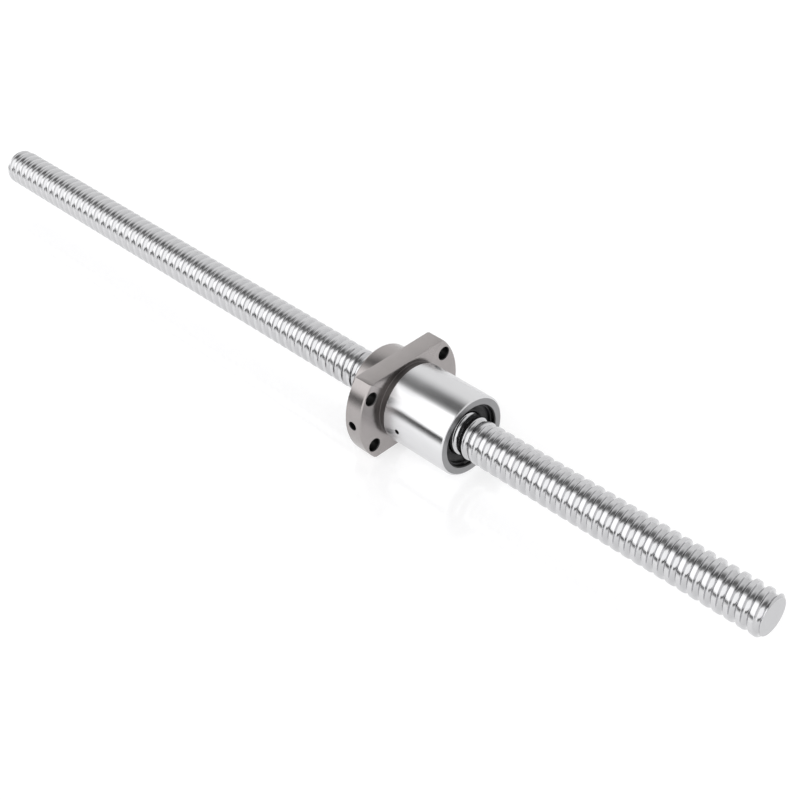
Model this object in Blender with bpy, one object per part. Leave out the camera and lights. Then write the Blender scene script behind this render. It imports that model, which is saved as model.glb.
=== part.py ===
"""Ball screw: a threaded shaft and the flanged ball nut that runs on it.

The shaft lies along +X with the centre of its rear end face at the origin. The two flats of the
nut's flange face up and down. Angles about the shaft are counted from +Y towards +Z.
"""
import math

import bmesh
import bpy
from mathutils import Matrix, Vector

MM = 0.001
TURN = 2.0 * math.pi

# Screw shaft
LEAD = 4.0 * MM
SHAFT_DIAMETER = 14.2 * MM
SHAFT_LENGTH = 372.0 * MM
SHAFT_END_CHAMFER = 1.0 * MM
TRACK_START_X = 1.3 * MM
GROOVE_FLANK_ANGLE = math.radians(70.0)
SHAFT_STEPS_PER_TURN = 10

# Balls and the track that they run in
BALL_DIAMETER = 2.381 * MM
BALL_CIRCLE_DIAMETER = SHAFT_DIAMETER + 0.2 * MM
TRACK_CLEARANCE = 0.05 * MM
CHANNEL_CLEARANCE = 0.14 * MM
BALL_SPACING_CLEARANCE = 0.06 * MM
TRACK_TURNS_WHOLE = 2
RETURN_OFFSET = 3.4 * MM
TRACK_STEPS_PER_TURN = 24

# Nut body, flange and rear collar, from the rear face forwards
NUT_FRONT_X = 259.6 * MM
COLLAR_LENGTH = 7.0 * MM
COLLAR_EDGE_ROUND = 0.8 * MM
FLANGE_THICKNESS = 7.0 * MM
FLANGE_WIDTH = 8.25 * MM
FLAT_WIDTH = 1.0 * MM
FLANGE_EDGE_CHAMFER = 0.4 * MM
BODY_LENGTH = 28.0 * MM
BODY_WALL = 1.2 * MM
BODY_EDGE_CHAMFER = 0.5 * MM
RELIEF_WIDTH = 2.0 * MM
RELIEF_DEPTH = 0.5 * MM
NUT_BORE_CLEARANCE = 0.5 * MM
NUT_SEGMENTS = 36

# Flange holes and the lubrication port in the flange rim
FLANGE_HOLE_EDGE_DISTANCE = 3.25 * MM
FLANGE_HOLE_DIAMETER = 4.5 * MM
FLANGE_HOLE_ANGLE = math.radians(30.0)
PORT_DIAMETER = 3.0 * MM
PORT_ANGLE = math.radians(180.0)
PORT_PLUG_LENGTH = 3.0 * MM
PORT_PLUG_RECESS = 1.2 * MM
PORT_PLUG_SOCKET = 1.5 * MM

# Wipers and their retaining rings, from each end face inwards
END_FACE_WIDTH = 3.1 * MM
MOUTH_CHAMFER = 0.3 * MM
RING_SETBACK = 1.3 * MM
RING_WIDTH = 0.8 * MM
RING_STANDOUT = 0.7 * MM
RING_SEAT_DEPTH = 0.5 * MM
RING_OPEN_ANGLE = math.radians(24.0)
WIPER_THICKNESS = 2.6 * MM
WIPER_BORE_CLEARANCE = 0.3 * MM
WIPER_DISH_DEPTH = 0.9 * MM
WIPER_RIM_WIDTH = 1.45 * MM

# Return deflectors and the grub screw that locks the front one
DEFLECTOR_HALF_WIDTH = 1.95 * MM
DEFLECTOR_START = 2.0 * MM
DEFLECTOR_NOSE = 2.2 * MM
SHAFT_RUNNING_GAP = 0.3 * MM
LOCK_SCREW_DIAMETER = 1.6 * MM
LOCK_SCREW_LENGTH = 2.0 * MM
LOCK_SCREW_FROM_FLANGE = 8.4 * MM
LOCK_SCREW_ANGLE = math.radians(183.0)
LOCK_SCREW_FROM_PICKUP = math.radians(30.0)
LOCK_SCREW_SOCKET = 0.7 * MM

# Gap between neighbouring pieces that touch on the real object
SEAT_GAP = 0.25 * MM
THREAD_GAP = 0.1 * MM

# Worked out from the sizes above
SHAFT_RADIUS = SHAFT_DIAMETER / 2
BALL_RADIUS = BALL_DIAMETER / 2
BALL_CIRCLE_RADIUS = BALL_CIRCLE_DIAMETER / 2
RETURN_RADIUS = BALL_CIRCLE_RADIUS + RETURN_OFFSET
NUT_BORE_RADIUS = SHAFT_RADIUS + NUT_BORE_CLEARANCE
BODY_RADIUS = RETURN_RADIUS + DEFLECTOR_HALF_WIDTH + SEAT_GAP + BODY_WALL
FLANGE_RADIUS = BODY_RADIUS + FLANGE_WIDTH
FLAT_HEIGHT = BODY_RADIUS + FLAT_WIDTH
HOLE_CIRCLE_RADIUS = FLANGE_RADIUS - FLANGE_HOLE_EDGE_DISTANCE
MOUTH_RADIUS = BODY_RADIUS - END_FACE_WIDTH
NUT_LENGTH = COLLAR_LENGTH + FLANGE_THICKNESS + BODY_LENGTH
NUT_REAR_X = NUT_FRONT_X - NUT_LENGTH
FLANGE_FRONT = COLLAR_LENGTH + FLANGE_THICKNESS
RING_GROOVE_START = RING_SETBACK - SEAT_GAP
RING_GROOVE_END = RING_SETBACK + RING_WIDTH + SEAT_GAP
WIPER_START = RING_SETBACK + RING_WIDTH + SEAT_GAP
MOUTH_DEPTH = WIPER_START + WIPER_THICKNESS + SEAT_GAP

# The balls leave the track along its tangent and meet the return bore at this reach and angle
RETURN_REACH = math.sqrt(RETURN_RADIUS ** 2 - BALL_CIRCLE_RADIUS ** 2)
RETURN_TURN_ANGLE = math.atan2(RETURN_REACH, BALL_CIRCLE_RADIUS)
LOADED_ANGLE = TRACK_TURNS_WHOLE * TURN - 2 * RETURN_TURN_ANGLE

STEEL_GROUND = ("ground_steel", (0.62, 0.62, 0.63), 0.22, 1.0)
STEEL_THREAD = ("rolled_thread_steel", (0.66, 0.66, 0.67), 0.25, 1.0)
STEEL_BALL = ("bearing_ball_steel", (0.72, 0.72, 0.74), 0.08, 1.0)
STEEL_BLACK = ("blackened_screw_steel", (0.06, 0.06, 0.065), 0.45, 1.0)
STEEL_SPRING = ("spring_ring_steel", (0.10, 0.10, 0.11), 0.40, 1.0)
PLASTIC_WIPER = ("black_wiper_plastic", (0.02, 0.02, 0.022), 0.50, 0.0)
PLASTIC_DEFLECTOR = ("black_deflector_plastic", (0.03, 0.03, 0.032), 0.45, 0.0)


def clear_scene():
    for item in list(bpy.data.objects):
        bpy.data.objects.remove(item, do_unlink=True)


def material(recipe):
    """Make or reuse the Principled material that a recipe names."""
    name, colour, roughness, metallic = recipe
    if name in bpy.data.materials:
        return bpy.data.materials[name]
    made = bpy.data.materials.new(name)
    made.use_nodes = True
    shader = made.node_tree.nodes["Principled BSDF"]
    shader.inputs["Base Color"].default_value = (*colour, 1.0)
    shader.inputs["Roughness"].default_value = roughness
    shader.inputs["Metallic"].default_value = metallic
    return made


def add_object(name, mesh, recipe=None, parent=None, place=(0.0, 0.0, 0.0)):
    item = bpy.data.objects.new(name, mesh)
    bpy.context.collection.objects.link(item)
    item.location = place
    item.parent = parent
    if recipe and not mesh.materials:
        mesh.materials.append(material(recipe))
    return item


def mesh_from(bm, name, smooth_angle=math.radians(35.0)):
    """Turn a bmesh into a mesh with outward faces, smooth but for its sharp edges."""
    bmesh.ops.recalc_face_normals(bm, faces=bm.faces)
    mesh = bpy.data.meshes.new(name)
    bm.to_mesh(mesh)
    bm.free()
    mesh.shade_smooth()
    mesh.set_sharp_from_angle(angle=smooth_angle)
    return mesh


def polyline(bm, points, closed=True):
    """Add points as (x, radius) in the XY plane, joined by edges."""
    verts = [bm.verts.new((x, r, 0.0)) for x, r in points]
    pairs = list(zip(verts, verts[1:]))
    if closed:
        pairs.append((verts[-1], verts[0]))
    edges = [bm.edges.new(pair) for pair in pairs]
    return verts + edges


def turned(points, segments):
    """Spin a closed (x, radius) profile once round the X axis."""
    bm = bmesh.new()
    bmesh.ops.spin(bm, geom=polyline(bm, points), cent=(0, 0, 0), axis=(1, 0, 0),
                   angle=TURN, steps=segments, use_merge=True)
    return bm


def fill_openings(bm):
    """Close every open loop of edges with one flat face."""
    rims = [edge for edge in bm.edges if edge.is_boundary]
    bmesh.ops.holes_fill(bm, edges=rims, sides=0)


def rod(radius, length, sides):
    """A cylinder along +X from the origin."""
    bm = bmesh.new()
    bmesh.ops.create_cone(bm, cap_ends=True, segments=sides, radius1=radius, radius2=radius, depth=length)
    turn = Matrix.Rotation(math.pi / 2, 4, "Y")
    bmesh.ops.transform(bm, matrix=Matrix.Translation((length / 2, 0, 0)) @ turn, verts=bm.verts)
    return bm


def around(radius, angle, x=0.0):
    """The point at this radius and angle about the shaft."""
    return Vector((x, radius * math.cos(angle), radius * math.sin(angle)))


def radial_frame(angle, x, radius):
    """A frame whose +X points outwards at this angle about the shaft."""
    outwards = around(1.0, angle)
    sideways = around(1.0, angle + math.pi / 2)
    forwards = Vector((1.0, 0.0, 0.0))
    turn = Matrix((outwards, sideways, -forwards)).transposed().to_4x4()
    return Matrix.Translation(around(radius, angle, x)) @ turn


def cutter(name, bm, parent, matrix=None):
    """Keep a tool body out of the build, shown as wire."""
    if matrix:
        bmesh.ops.transform(bm, matrix=matrix, verts=bm.verts)
    item = add_object(name, mesh_from(bm, name), parent=parent)
    item.hide_render = True
    item.display_type = "WIRE"
    return item


def cut(item, tool):
    boolean = item.modifiers.new(tool.name, "BOOLEAN")
    boolean.operation = "DIFFERENCE"
    boolean.solver = "EXACT"
    boolean.object = tool


def track_x(angle):
    """Where the centre of the right-hand track crosses an angle about the shaft."""
    return TRACK_START_X + LEAD * angle / TURN


def tube_along(points, radius, sides=8):
    """A closed tube of flat sides along a line of points, wide enough for a ball of this radius."""
    bm = bmesh.new()
    corner_radius = radius / math.cos(math.pi / sides)
    rings = []
    side = None
    for index, point in enumerate(points):
        before = points[max(index - 1, 0)]
        after = points[min(index + 1, len(points) - 1)]
        along = (after - before).normalized()
        if side is None:
            side = along.orthogonal().normalized()
        side = (side - along * side.dot(along)).normalized()
        across = along.cross(side)
        corners = []
        for step in range(sides):
            turn = TURN * (step + 0.5) / sides
            offset = side * math.cos(turn) + across * math.sin(turn)
            corners.append(bm.verts.new(point + offset * corner_radius))
        rings.append([bm.edges.new((corners[i], corners[(i + 1) % sides])) for i in range(sides)])
    for first, second in zip(rings, rings[1:]):
        bmesh.ops.bridge_loops(bm, edges=first + second)
    fill_openings(bm)
    return bm


def groove_section():
    """One lead of the shaft's outline: a ball groove centred on x = 0 and the land after it."""
    reach = BALL_RADIUS + TRACK_CLEARANCE
    rise = SHAFT_RADIUS - BALL_CIRCLE_RADIUS
    bottom = reach * math.tan(GROOVE_FLANK_ANGLE / 2)
    edge = (reach + rise * math.cos(GROOVE_FLANK_ANGLE)) / math.sin(GROOVE_FLANK_ANGLE)
    root = BALL_CIRCLE_RADIUS - reach
    return [(-edge, SHAFT_RADIUS), (-bottom, root), (bottom, root), (edge, SHAFT_RADIUS),
            (LEAD - edge, SHAFT_RADIUS)]


def make_screw_shaft():
    """Sweep the groove section along the helix, cap it and chamfer both sawn ends."""
    turns_before = math.ceil(TRACK_START_X / LEAD) + 1
    turns = math.ceil(SHAFT_LENGTH / LEAD) + turns_before + 2
    start = TRACK_START_X - turns_before * LEAD
    bm = bmesh.new()
    section = polyline(bm, [(start + x, r) for x, r in groove_section()], closed=False)
    bmesh.ops.spin(bm, geom=section, cent=(0, 0, 0), axis=(1, 0, 0), angle=TURN * turns,
                   steps=SHAFT_STEPS_PER_TURN * turns, dvec=(LEAD / SHAFT_STEPS_PER_TURN, 0, 0))
    bmesh.ops.remove_doubles(bm, verts=bm.verts, dist=0.001 * MM)
    for end_x, side in ((-0.2 * LEAD, -1), (SHAFT_LENGTH + 0.2 * LEAD, 1)):
        bmesh.ops.bisect_plane(bm, geom=bm.verts[:] + bm.edges[:] + bm.faces[:], dist=0.0,
                               plane_co=(end_x, 0, 0), plane_no=(side, 0, 0), clear_outer=True)
    fill_openings(bm)
    shaft = add_object("screw_shaft", mesh_from(bm, "screw_shaft"), STEEL_THREAD)

    wide = SHAFT_RADIUS + SHAFT_END_CHAMFER
    face = SHAFT_RADIUS - SHAFT_END_CHAMFER
    length = SHAFT_LENGTH
    taper = 2 * SHAFT_END_CHAMFER
    blank = bmesh.new()
    outline = polyline(blank, [(0, 0), (0, face), (taper, wide), (length - taper, wide),
                               (length, face), (length, 0)], closed=False)
    bmesh.ops.spin(blank, geom=outline, cent=(0, 0, 0), axis=(1, 0, 0), angle=TURN,
                   steps=2 * SHAFT_STEPS_PER_TURN, use_merge=True)
    bmesh.ops.remove_doubles(blank, verts=blank.verts, dist=0.001 * MM)
    ends = cutter("shaft_end_shape", blank, None)
    trim = shaft.modifiers.new("end_chamfers", "BOOLEAN")
    trim.operation = "INTERSECT"
    trim.solver = "EXACT"
    trim.object = ends
    return shaft


def mouth_outline(from_face, face_x):
    """The inner outline at one end of the nut, from the end face to the bore."""
    mouth = MOUTH_RADIUS
    groove = mouth + RING_SEAT_DEPTH + SEAT_GAP
    depths = [(0, mouth + MOUTH_CHAMFER), (MOUTH_CHAMFER, mouth), (RING_GROOVE_START, mouth),
              (RING_GROOVE_START, groove), (RING_GROOVE_END, groove), (RING_GROOVE_END, mouth),
              (MOUTH_DEPTH, mouth), (MOUTH_DEPTH, NUT_BORE_RADIUS)]
    return [(face_x + from_face * depth, radius) for depth, radius in depths]


def nut_outline():
    """Half section of the nut: collar, flange, ground body and the two mouths."""
    collar = BODY_RADIUS
    flange = FLANGE_RADIUS
    body = BODY_RADIUS
    relief = body - RELIEF_DEPTH
    bevel = FLANGE_EDGE_CHAMFER
    outside = [(0, collar - COLLAR_EDGE_ROUND), (0.3 * COLLAR_EDGE_ROUND, collar - 0.3 * COLLAR_EDGE_ROUND),
               (COLLAR_EDGE_ROUND, collar), (COLLAR_LENGTH, collar),
               (COLLAR_LENGTH, flange - bevel), (COLLAR_LENGTH + bevel, flange),
               (FLANGE_FRONT - bevel, flange), (FLANGE_FRONT, flange - bevel),
               (FLANGE_FRONT, relief), (FLANGE_FRONT + RELIEF_WIDTH, relief),
               (FLANGE_FRONT + RELIEF_WIDTH + RELIEF_DEPTH, body),
               (NUT_LENGTH - BODY_EDGE_CHAMFER, body), (NUT_LENGTH, body - BODY_EDGE_CHAMFER)]
    front = mouth_outline(-1, NUT_LENGTH)
    rear = mouth_outline(1, 0.0)
    return outside + front + rear[::-1]


def cut_flats(bm):
    """Mill the two parallel flats on the flange."""
    for side in (-1, 1):
        bmesh.ops.bisect_plane(bm, geom=bm.verts[:] + bm.edges[:] + bm.faces[:], dist=0.0,
                               plane_co=(0, 0, side * FLAT_HEIGHT), plane_no=(0, 0, side),
                               clear_outer=True)
        fill_openings(bm)


def pickup_angles():
    """Angles along the track where the balls leave it at the front and at the rear."""
    lock_x = NUT_REAR_X + FLANGE_FRONT + LOCK_SCREW_FROM_FLANGE
    front = LOCK_SCREW_ANGLE - LOCK_SCREW_FROM_PICKUP
    front += TURN * round((lock_x - track_x(front)) / LEAD)
    return front - LOADED_ANGLE, front


def turn_path(angle, sense, steps=10):
    """Centre line of a ball from the track to the return bore, as a cubic curve.

    The curve leaves along the track's tangent, climbs out of the groove and bends into the bore.
    """
    away = around(1.0, angle + sense * math.pi / 2)
    slope = Vector((sense * LEAD / (TURN * BALL_CIRCLE_RADIUS), 0.0, 0.0))
    leaving = away + slope
    start = around(BALL_CIRCLE_RADIUS, angle, track_x(angle) - NUT_REAR_X)
    corner_x = start.x + sense * 0.6 * MM
    end = start + away * RETURN_REACH
    first = start + leaving * (0.64 * RETURN_REACH)
    second = Vector((corner_x, end.y, end.z))
    end.x = start.x - sense * (DEFLECTOR_NOSE - 0.3 * MM)
    path = []
    for step in range(steps + 1):
        u = step / steps
        v = 1.0 - u
        path.append(start * v ** 3 + first * (3 * u * v ** 2) + second * (3 * u ** 2 * v) + end * u ** 3)
    return path


def loaded_path(rear, front, overrun=0.0):
    """Centre line of the loaded track between two angles, in the nut's own frame."""
    span = front - rear + 2 * overrun
    steps = math.ceil(span / TURN * TRACK_STEPS_PER_TURN)
    angles = [rear - overrun + span * step / steps for step in range(steps + 1)]
    return [around(BALL_CIRCLE_RADIUS, angle, track_x(angle) - NUT_REAR_X) for angle in angles]


def deflector_outline(half_width, depth_from, depth_to, angle, sense):
    """A bar of obround section along X that covers the path from the track to the return bore."""
    bm = bmesh.new()
    away = around(1.0, angle + sense * math.pi / 2)
    up = around(1.0, angle)
    middle = up * BALL_CIRCLE_RADIUS
    corners = []
    for centre, first in ((DEFLECTOR_START, math.pi / 2), (RETURN_REACH, -math.pi / 2)):
        for step in range(7):
            turn = first + math.pi * step / 6
            reach = centre + half_width * math.cos(turn)
            corners.append(middle + away * reach + up * (half_width * math.sin(turn)))
    rim = [bm.verts.new((depth_from, point.y, point.z)) for point in corners]
    face = bm.faces.new(rim)
    grown = bmesh.ops.extrude_face_region(bm, geom=[face], use_keep_orig=True)
    moved = [item for item in grown["geom"] if isinstance(item, bmesh.types.BMVert)]
    bmesh.ops.translate(bm, verts=moved, vec=(depth_to - depth_from, 0, 0))
    return bm


def deflector_reach(angle, sense):
    """Where a deflector bar starts at its nose and ends at the floor of its mouth."""
    nose = track_x(angle) - NUT_REAR_X - sense * DEFLECTOR_NOSE
    floor = NUT_LENGTH - MOUTH_DEPTH if sense > 0 else MOUTH_DEPTH
    return nose, floor


def make_nut_body(carrier):
    """The turned steel nut with its flats, holes, ball track, deflector pockets and return bore."""
    bm = turned(nut_outline(), NUT_SEGMENTS)
    cut_flats(bm)
    nut = add_object("nut_body", mesh_from(bm, "nut_body"), STEEL_GROUND, carrier)
    over = 1.0 * MM

    hole_radius = FLANGE_HOLE_DIAMETER / 2
    for index, angle in enumerate(flange_hole_angles()):
        place = around(HOLE_CIRCLE_RADIUS, angle, COLLAR_LENGTH - over)
        drill = rod(hole_radius, FLANGE_THICKNESS + 2 * over, 16)
        cut(nut, cutter(f"flange_hole_{index + 1}_cut", drill, carrier, Matrix.Translation(place)))

    port_x = COLLAR_LENGTH + FLANGE_THICKNESS / 2
    port_start = NUT_BORE_RADIUS - over
    port = rod(PORT_DIAMETER / 2, FLANGE_RADIUS - port_start + over, 12)
    cut(nut, cutter("port_cut", port, carrier, radial_frame(PORT_ANGLE, port_x, port_start)))

    rear, front = pickup_angles()
    race = tube_along(loaded_path(rear, front, math.radians(18.0)), BALL_RADIUS + CHANNEL_CLEARANCE)
    cut(nut, cutter("ball_track_cut", race, carrier))
    for name, angle, sense in (("front", front, 1), ("rear", rear, -1)):
        nose, floor = deflector_reach(angle, sense)
        pocket = deflector_outline(DEFLECTOR_HALF_WIDTH + SEAT_GAP, nose - sense * SEAT_GAP,
                                   floor + sense * SEAT_GAP, angle, sense)
        cut(nut, cutter(f"{name}_pocket_cut", pocket, carrier))
    return_angle = front + RETURN_TURN_ANGLE
    bore_from, _ = deflector_reach(rear, -1)
    bore_to, _ = deflector_reach(front, 1)
    bore = rod((BALL_RADIUS + CHANNEL_CLEARANCE) / math.cos(math.pi / 12), bore_to - bore_from, 12)
    place = Matrix.Translation(around(RETURN_RADIUS, return_angle, bore_from))
    cut(nut, cutter("return_bore_cut", bore, carrier, place))

    tip = lock_screw_tip()
    screw_hole = rod(LOCK_SCREW_DIAMETER / 2 + THREAD_GAP, BODY_RADIUS - tip + 2 * over, 12)
    cut(nut, cutter("lock_screw_cut", screw_hole, carrier, lock_screw_frame(tip - over)))
    return nut


def flange_hole_angles():
    return [side + sign * FLANGE_HOLE_ANGLE for side in (0.0, math.pi) for sign in (-1, 1)]


def lock_screw_frame(radius):
    return radial_frame(LOCK_SCREW_ANGLE, FLANGE_FRONT + LOCK_SCREW_FROM_FLANGE, radius)


def lock_screw_tip():
    """How far out the lock screw ends, just clear of the front deflector's sloping back."""
    back = (BALL_CIRCLE_RADIUS + DEFLECTOR_HALF_WIDTH) / math.cos(LOCK_SCREW_FROM_PICKUP)
    slope = LOCK_SCREW_DIAMETER / 2 * math.tan(LOCK_SCREW_FROM_PICKUP)
    return back + slope + THREAD_GAP


def make_deflector(name, angle, sense, carrier):
    """A plastic bar that scoops the balls off the track and turns them into the return bore."""
    nose, floor = deflector_reach(angle, sense)
    bar = deflector_outline(DEFLECTOR_HALF_WIDTH, nose, floor - sense * SEAT_GAP, angle, sense)
    item = add_object(name, mesh_from(bar, name), PLASTIC_DEFLECTOR, carrier)
    path = turn_path(angle, sense)
    lead_in = path[0] - (path[1] - path[0]).normalized() * 3 * MM
    run_out = path[-1] + (path[-1] - path[-2]).normalized() * 3 * MM
    channel = tube_along([lead_in] + path + [run_out], BALL_RADIUS + CHANNEL_CLEARANCE)
    cut(item, cutter(f"{name}_channel_cut", channel, carrier))
    over = 1.0 * MM
    clearance = rod(SHAFT_RADIUS + SHAFT_RUNNING_GAP, abs(floor - nose) + 2 * over, 36)
    start = Matrix.Translation((min(nose, floor) - over, 0, 0))
    cut(item, cutter(f"{name}_shaft_cut", clearance, carrier, start))
    return item


def make_wiper(name, sense, face_x, carrier):
    """A black wiper disc with a dished face, a lip round the shaft and a relieved back."""
    outer = MOUTH_RADIUS - SEAT_GAP
    lip = SHAFT_RADIUS + WIPER_BORE_CLEARANCE
    dish = outer - WIPER_RIM_WIDTH
    depths = [(0, outer), (0, dish), (WIPER_DISH_DEPTH, lip), (WIPER_THICKNESS - 0.6 * MM, lip),
              (WIPER_THICKNESS, lip + 0.6 * MM), (WIPER_THICKNESS, outer)]
    profile = [(face_x - sense * (WIPER_START + depth), radius) for depth, radius in depths]
    return add_object(name, mesh_from(turned(profile, 24), name), PLASTIC_WIPER, carrier)


def make_retaining_ring(name, sense, face_x, carrier):
    """An open spring ring of flat wire that sits in the groove of the mouth."""
    bm = bmesh.new()
    near = face_x - sense * RING_SETBACK
    far = face_x - sense * (RING_SETBACK + RING_WIDTH)
    inner = MOUTH_RADIUS - RING_STANDOUT
    outer = MOUTH_RADIUS + RING_SEAT_DEPTH
    section = polyline(bm, [(near, inner), (near, outer), (far, outer), (far, inner)])
    bmesh.ops.spin(bm, geom=section, cent=(0, 0, 0), axis=(1, 0, 0), angle=TURN - RING_OPEN_ANGLE,
                   steps=24)
    fill_openings(bm)
    turn = Matrix.Rotation(RING_OPEN_ANGLE / 2 - math.pi / 2, 4, "X")
    bmesh.ops.transform(bm, matrix=turn, verts=bm.verts)
    return add_object(name, mesh_from(bm, name), STEEL_SPRING, carrier)


def make_grub_screw(name, diameter, length, socket, frame, carrier):
    """A headless screw whose outer end, with the hexagon socket, is at the frame's origin."""
    shank = rod(diameter / 2, length, 12)
    bmesh.ops.transform(shank, matrix=frame @ Matrix.Translation((-length, 0, 0)), verts=shank.verts)
    item = add_object(name, mesh_from(shank, name), STEEL_BLACK, carrier)
    depth = 0.5 * length
    key = rod(socket / math.sqrt(3), 2 * depth, 6)
    cut(item, cutter(f"{name}_socket_cut", key, carrier, frame @ Matrix.Translation((-depth, 0, 0))))
    return item


def path_points(path, spacing_at_least):
    """Evenly spaced points round a closed path, as many as fit at the spacing."""
    loop = path + [path[0]]
    lengths = [(second - first).length for first, second in zip(loop, loop[1:])]
    count = math.floor(sum(lengths) / spacing_at_least)
    spacing = sum(lengths) / count
    points = []
    travelled = 0.0
    for first, second, length in zip(loop, loop[1:], lengths):
        while len(points) < count and len(points) * spacing <= travelled + length:
            share = (len(points) * spacing - travelled) / length
            points.append(first.lerp(second, share))
        travelled += length
    return points


def make_balls(carrier):
    """Steel balls nose to tail round the loaded track, both deflectors and the return bore."""
    rear, front = pickup_angles()
    circuit = loaded_path(rear, front) + turn_path(front, 1)[1:] + turn_path(rear, -1)[::-1][:-1]
    bm = bmesh.new()
    bmesh.ops.create_uvsphere(bm, u_segments=8, v_segments=5, radius=BALL_RADIUS)
    ball = mesh_from(bm, "bearing_ball", math.pi)
    places = path_points(circuit, BALL_DIAMETER + BALL_SPACING_CLEARANCE)
    for index, place in enumerate(places):
        add_object(f"ball_{index + 1:02d}", ball, STEEL_BALL, carrier, place)


def make_nut():
    carrier = bpy.data.objects.new("nut_axis", None)
    bpy.context.collection.objects.link(carrier)
    carrier.location = (NUT_REAR_X, 0, 0)
    make_nut_body(carrier)
    rear, front = pickup_angles()
    make_deflector("front_deflector", front, 1, carrier)
    make_deflector("rear_deflector", rear, -1, carrier)
    for name, sense, face_x in (("front", 1, NUT_LENGTH), ("rear", -1, 0.0)):
        make_wiper(f"{name}_wiper", sense, face_x, carrier)
        make_retaining_ring(f"{name}_retaining_ring", sense, face_x, carrier)
    port_frame = radial_frame(PORT_ANGLE, COLLAR_LENGTH + FLANGE_THICKNESS / 2,
                              FLANGE_RADIUS - PORT_PLUG_RECESS)
    make_grub_screw("port_plug", PORT_DIAMETER - 2 * THREAD_GAP, PORT_PLUG_LENGTH, PORT_PLUG_SOCKET,
                    port_frame, carrier)
    make_grub_screw("deflector_lock_screw", LOCK_SCREW_DIAMETER, LOCK_SCREW_LENGTH, LOCK_SCREW_SOCKET,
                    lock_screw_frame(lock_screw_tip() + LOCK_SCREW_LENGTH), carrier)
    make_balls(carrier)


clear_scene()
make_screw_shaft()
make_nut()
bpy.context.view_layer.update()
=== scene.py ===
"""Looks of the ball screw: threaded shaft, flanged ball nut, balls, wipers and small parts.

The shaft lies along +X from the centre of its rear end face. Angles about it are counted from +Y
towards +Z. The nut's own outline is drawn from its rear face forwards and then moved along X.
"""
import math

import bmesh
import bpy
from mathutils import Euler, Matrix, Vector


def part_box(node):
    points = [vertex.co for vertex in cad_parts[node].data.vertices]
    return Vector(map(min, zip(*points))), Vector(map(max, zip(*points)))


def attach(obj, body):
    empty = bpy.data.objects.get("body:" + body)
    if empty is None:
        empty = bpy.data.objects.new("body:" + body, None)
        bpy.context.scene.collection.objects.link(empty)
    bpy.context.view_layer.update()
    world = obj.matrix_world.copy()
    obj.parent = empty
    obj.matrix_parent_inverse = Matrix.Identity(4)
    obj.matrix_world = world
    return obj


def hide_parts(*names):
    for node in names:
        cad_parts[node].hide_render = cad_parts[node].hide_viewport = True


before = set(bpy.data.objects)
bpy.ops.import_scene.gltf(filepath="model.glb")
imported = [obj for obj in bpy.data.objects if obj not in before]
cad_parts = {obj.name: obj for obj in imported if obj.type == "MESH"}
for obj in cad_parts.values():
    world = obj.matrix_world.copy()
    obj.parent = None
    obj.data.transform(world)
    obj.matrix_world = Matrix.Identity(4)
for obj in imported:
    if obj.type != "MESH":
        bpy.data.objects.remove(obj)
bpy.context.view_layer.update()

MM = 0.001
TURN = 2.0 * math.pi

# Mesh making: points nearer than this are welded, a cut this near a point goes through it, a face this
# near a plane lies in it, an edge sharper than this stays sharp, how far an edge is eased and a drill
# runs past its hole
WELD_DISTANCE = 0.0005 * MM
CUT_TOLERANCE = 0.00001 * MM
TOUCHING = 0.01 * MM
SMOOTH_ANGLE = math.radians(32.0)
EASE = 0.12 * MM
EASE_INSET = 0.7 * EASE
DRILL_OVERRUN = 1.0 * MM
DRILL_STEPS = 40

# How much closer the tool lines of a steel surface lie on a face than along a cylinder, and the radii
# between which the shaft's thread gets brighter: painted shade that darkens the root of its ball track
FACE_LINES_CLOSER = 1.4
THREAD_SHADE_RADII = (5.95 * MM, 7.0 * MM)

# Screw shaft
LEAD = 4.0 * MM
SHAFT_RADIUS = 7.1 * MM
SHAFT_LENGTH = 372.0 * MM
SHAFT_END_CHAMFER = 1.0 * MM
SHAFT_END_RINGS = 5
SHAFT_SPARE_LEADS = 4
SHAFT_STEPS_PER_TURN = 48
TRACK_START_X = 1.3 * MM
TRACK_ARC_RADIUS = 1.24 * MM
TRACK_ARC_STEPS = 10
LAND_EDGE_ROUND = 0.22 * MM
LAND_EDGE_STEPS = 4

# Balls and their circuit in the nut
BALL_COUNT = 40
BALL_RADIUS = 1.1905 * MM
BALL_SUBDIVISIONS = 4
BALL_CIRCLE_RADIUS = 7.2 * MM
CHANNEL_RADIUS = BALL_RADIUS + 0.14 * MM
CHANNEL_SIDES = 20
RETURN_RADIUS = 10.6 * MM
TRACK_TURNS_WHOLE = 2
TRACK_STEPS_PER_TURN = 72
TRACK_OVERRUN = math.radians(18.0)

# Nut, from its rear face forwards
NUT_REAR_X = 217.6 * MM
NUT_LENGTH = 42.0 * MM
NUT_STEPS = 160
COLLAR_LENGTH = 7.0 * MM
COLLAR_EDGE_ROUND = 0.8 * MM
COLLAR_EDGE_STEPS = 6
FLANGE_FRONT = 14.0 * MM
FLANGE_RADIUS = 22.25 * MM
FLAT_HEIGHT = 15.0 * MM
FLANGE_EDGE_CHAMFER = 0.4 * MM
FLAT_EDGE_CHAMFER = 0.2 * MM
BODY_RADIUS = 14.0 * MM
BODY_EDGE_CHAMFER = 0.5 * MM
RELIEF_WIDTH = 2.0 * MM
RELIEF_DEPTH = 0.5 * MM
NUT_BORE_RADIUS = 7.6 * MM
HOLE_CIRCLE_RADIUS = 19.0 * MM
HOLE_RADIUS = 2.25 * MM
HOLE_ANGLE = math.radians(30.0)
HOLE_EDGE_CHAMFER = 0.25 * MM
PORT_X = (COLLAR_LENGTH + FLANGE_FRONT) / 2
PORT_RADIUS = 1.5 * MM
PORT_ANGLE = math.radians(180.0)
PORT_EDGE_CHAMFER = 0.2 * MM
PORT_PLUG_RECESS = 1.2 * MM
PORT_PLUG_LENGTH = 3.0 * MM
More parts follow.
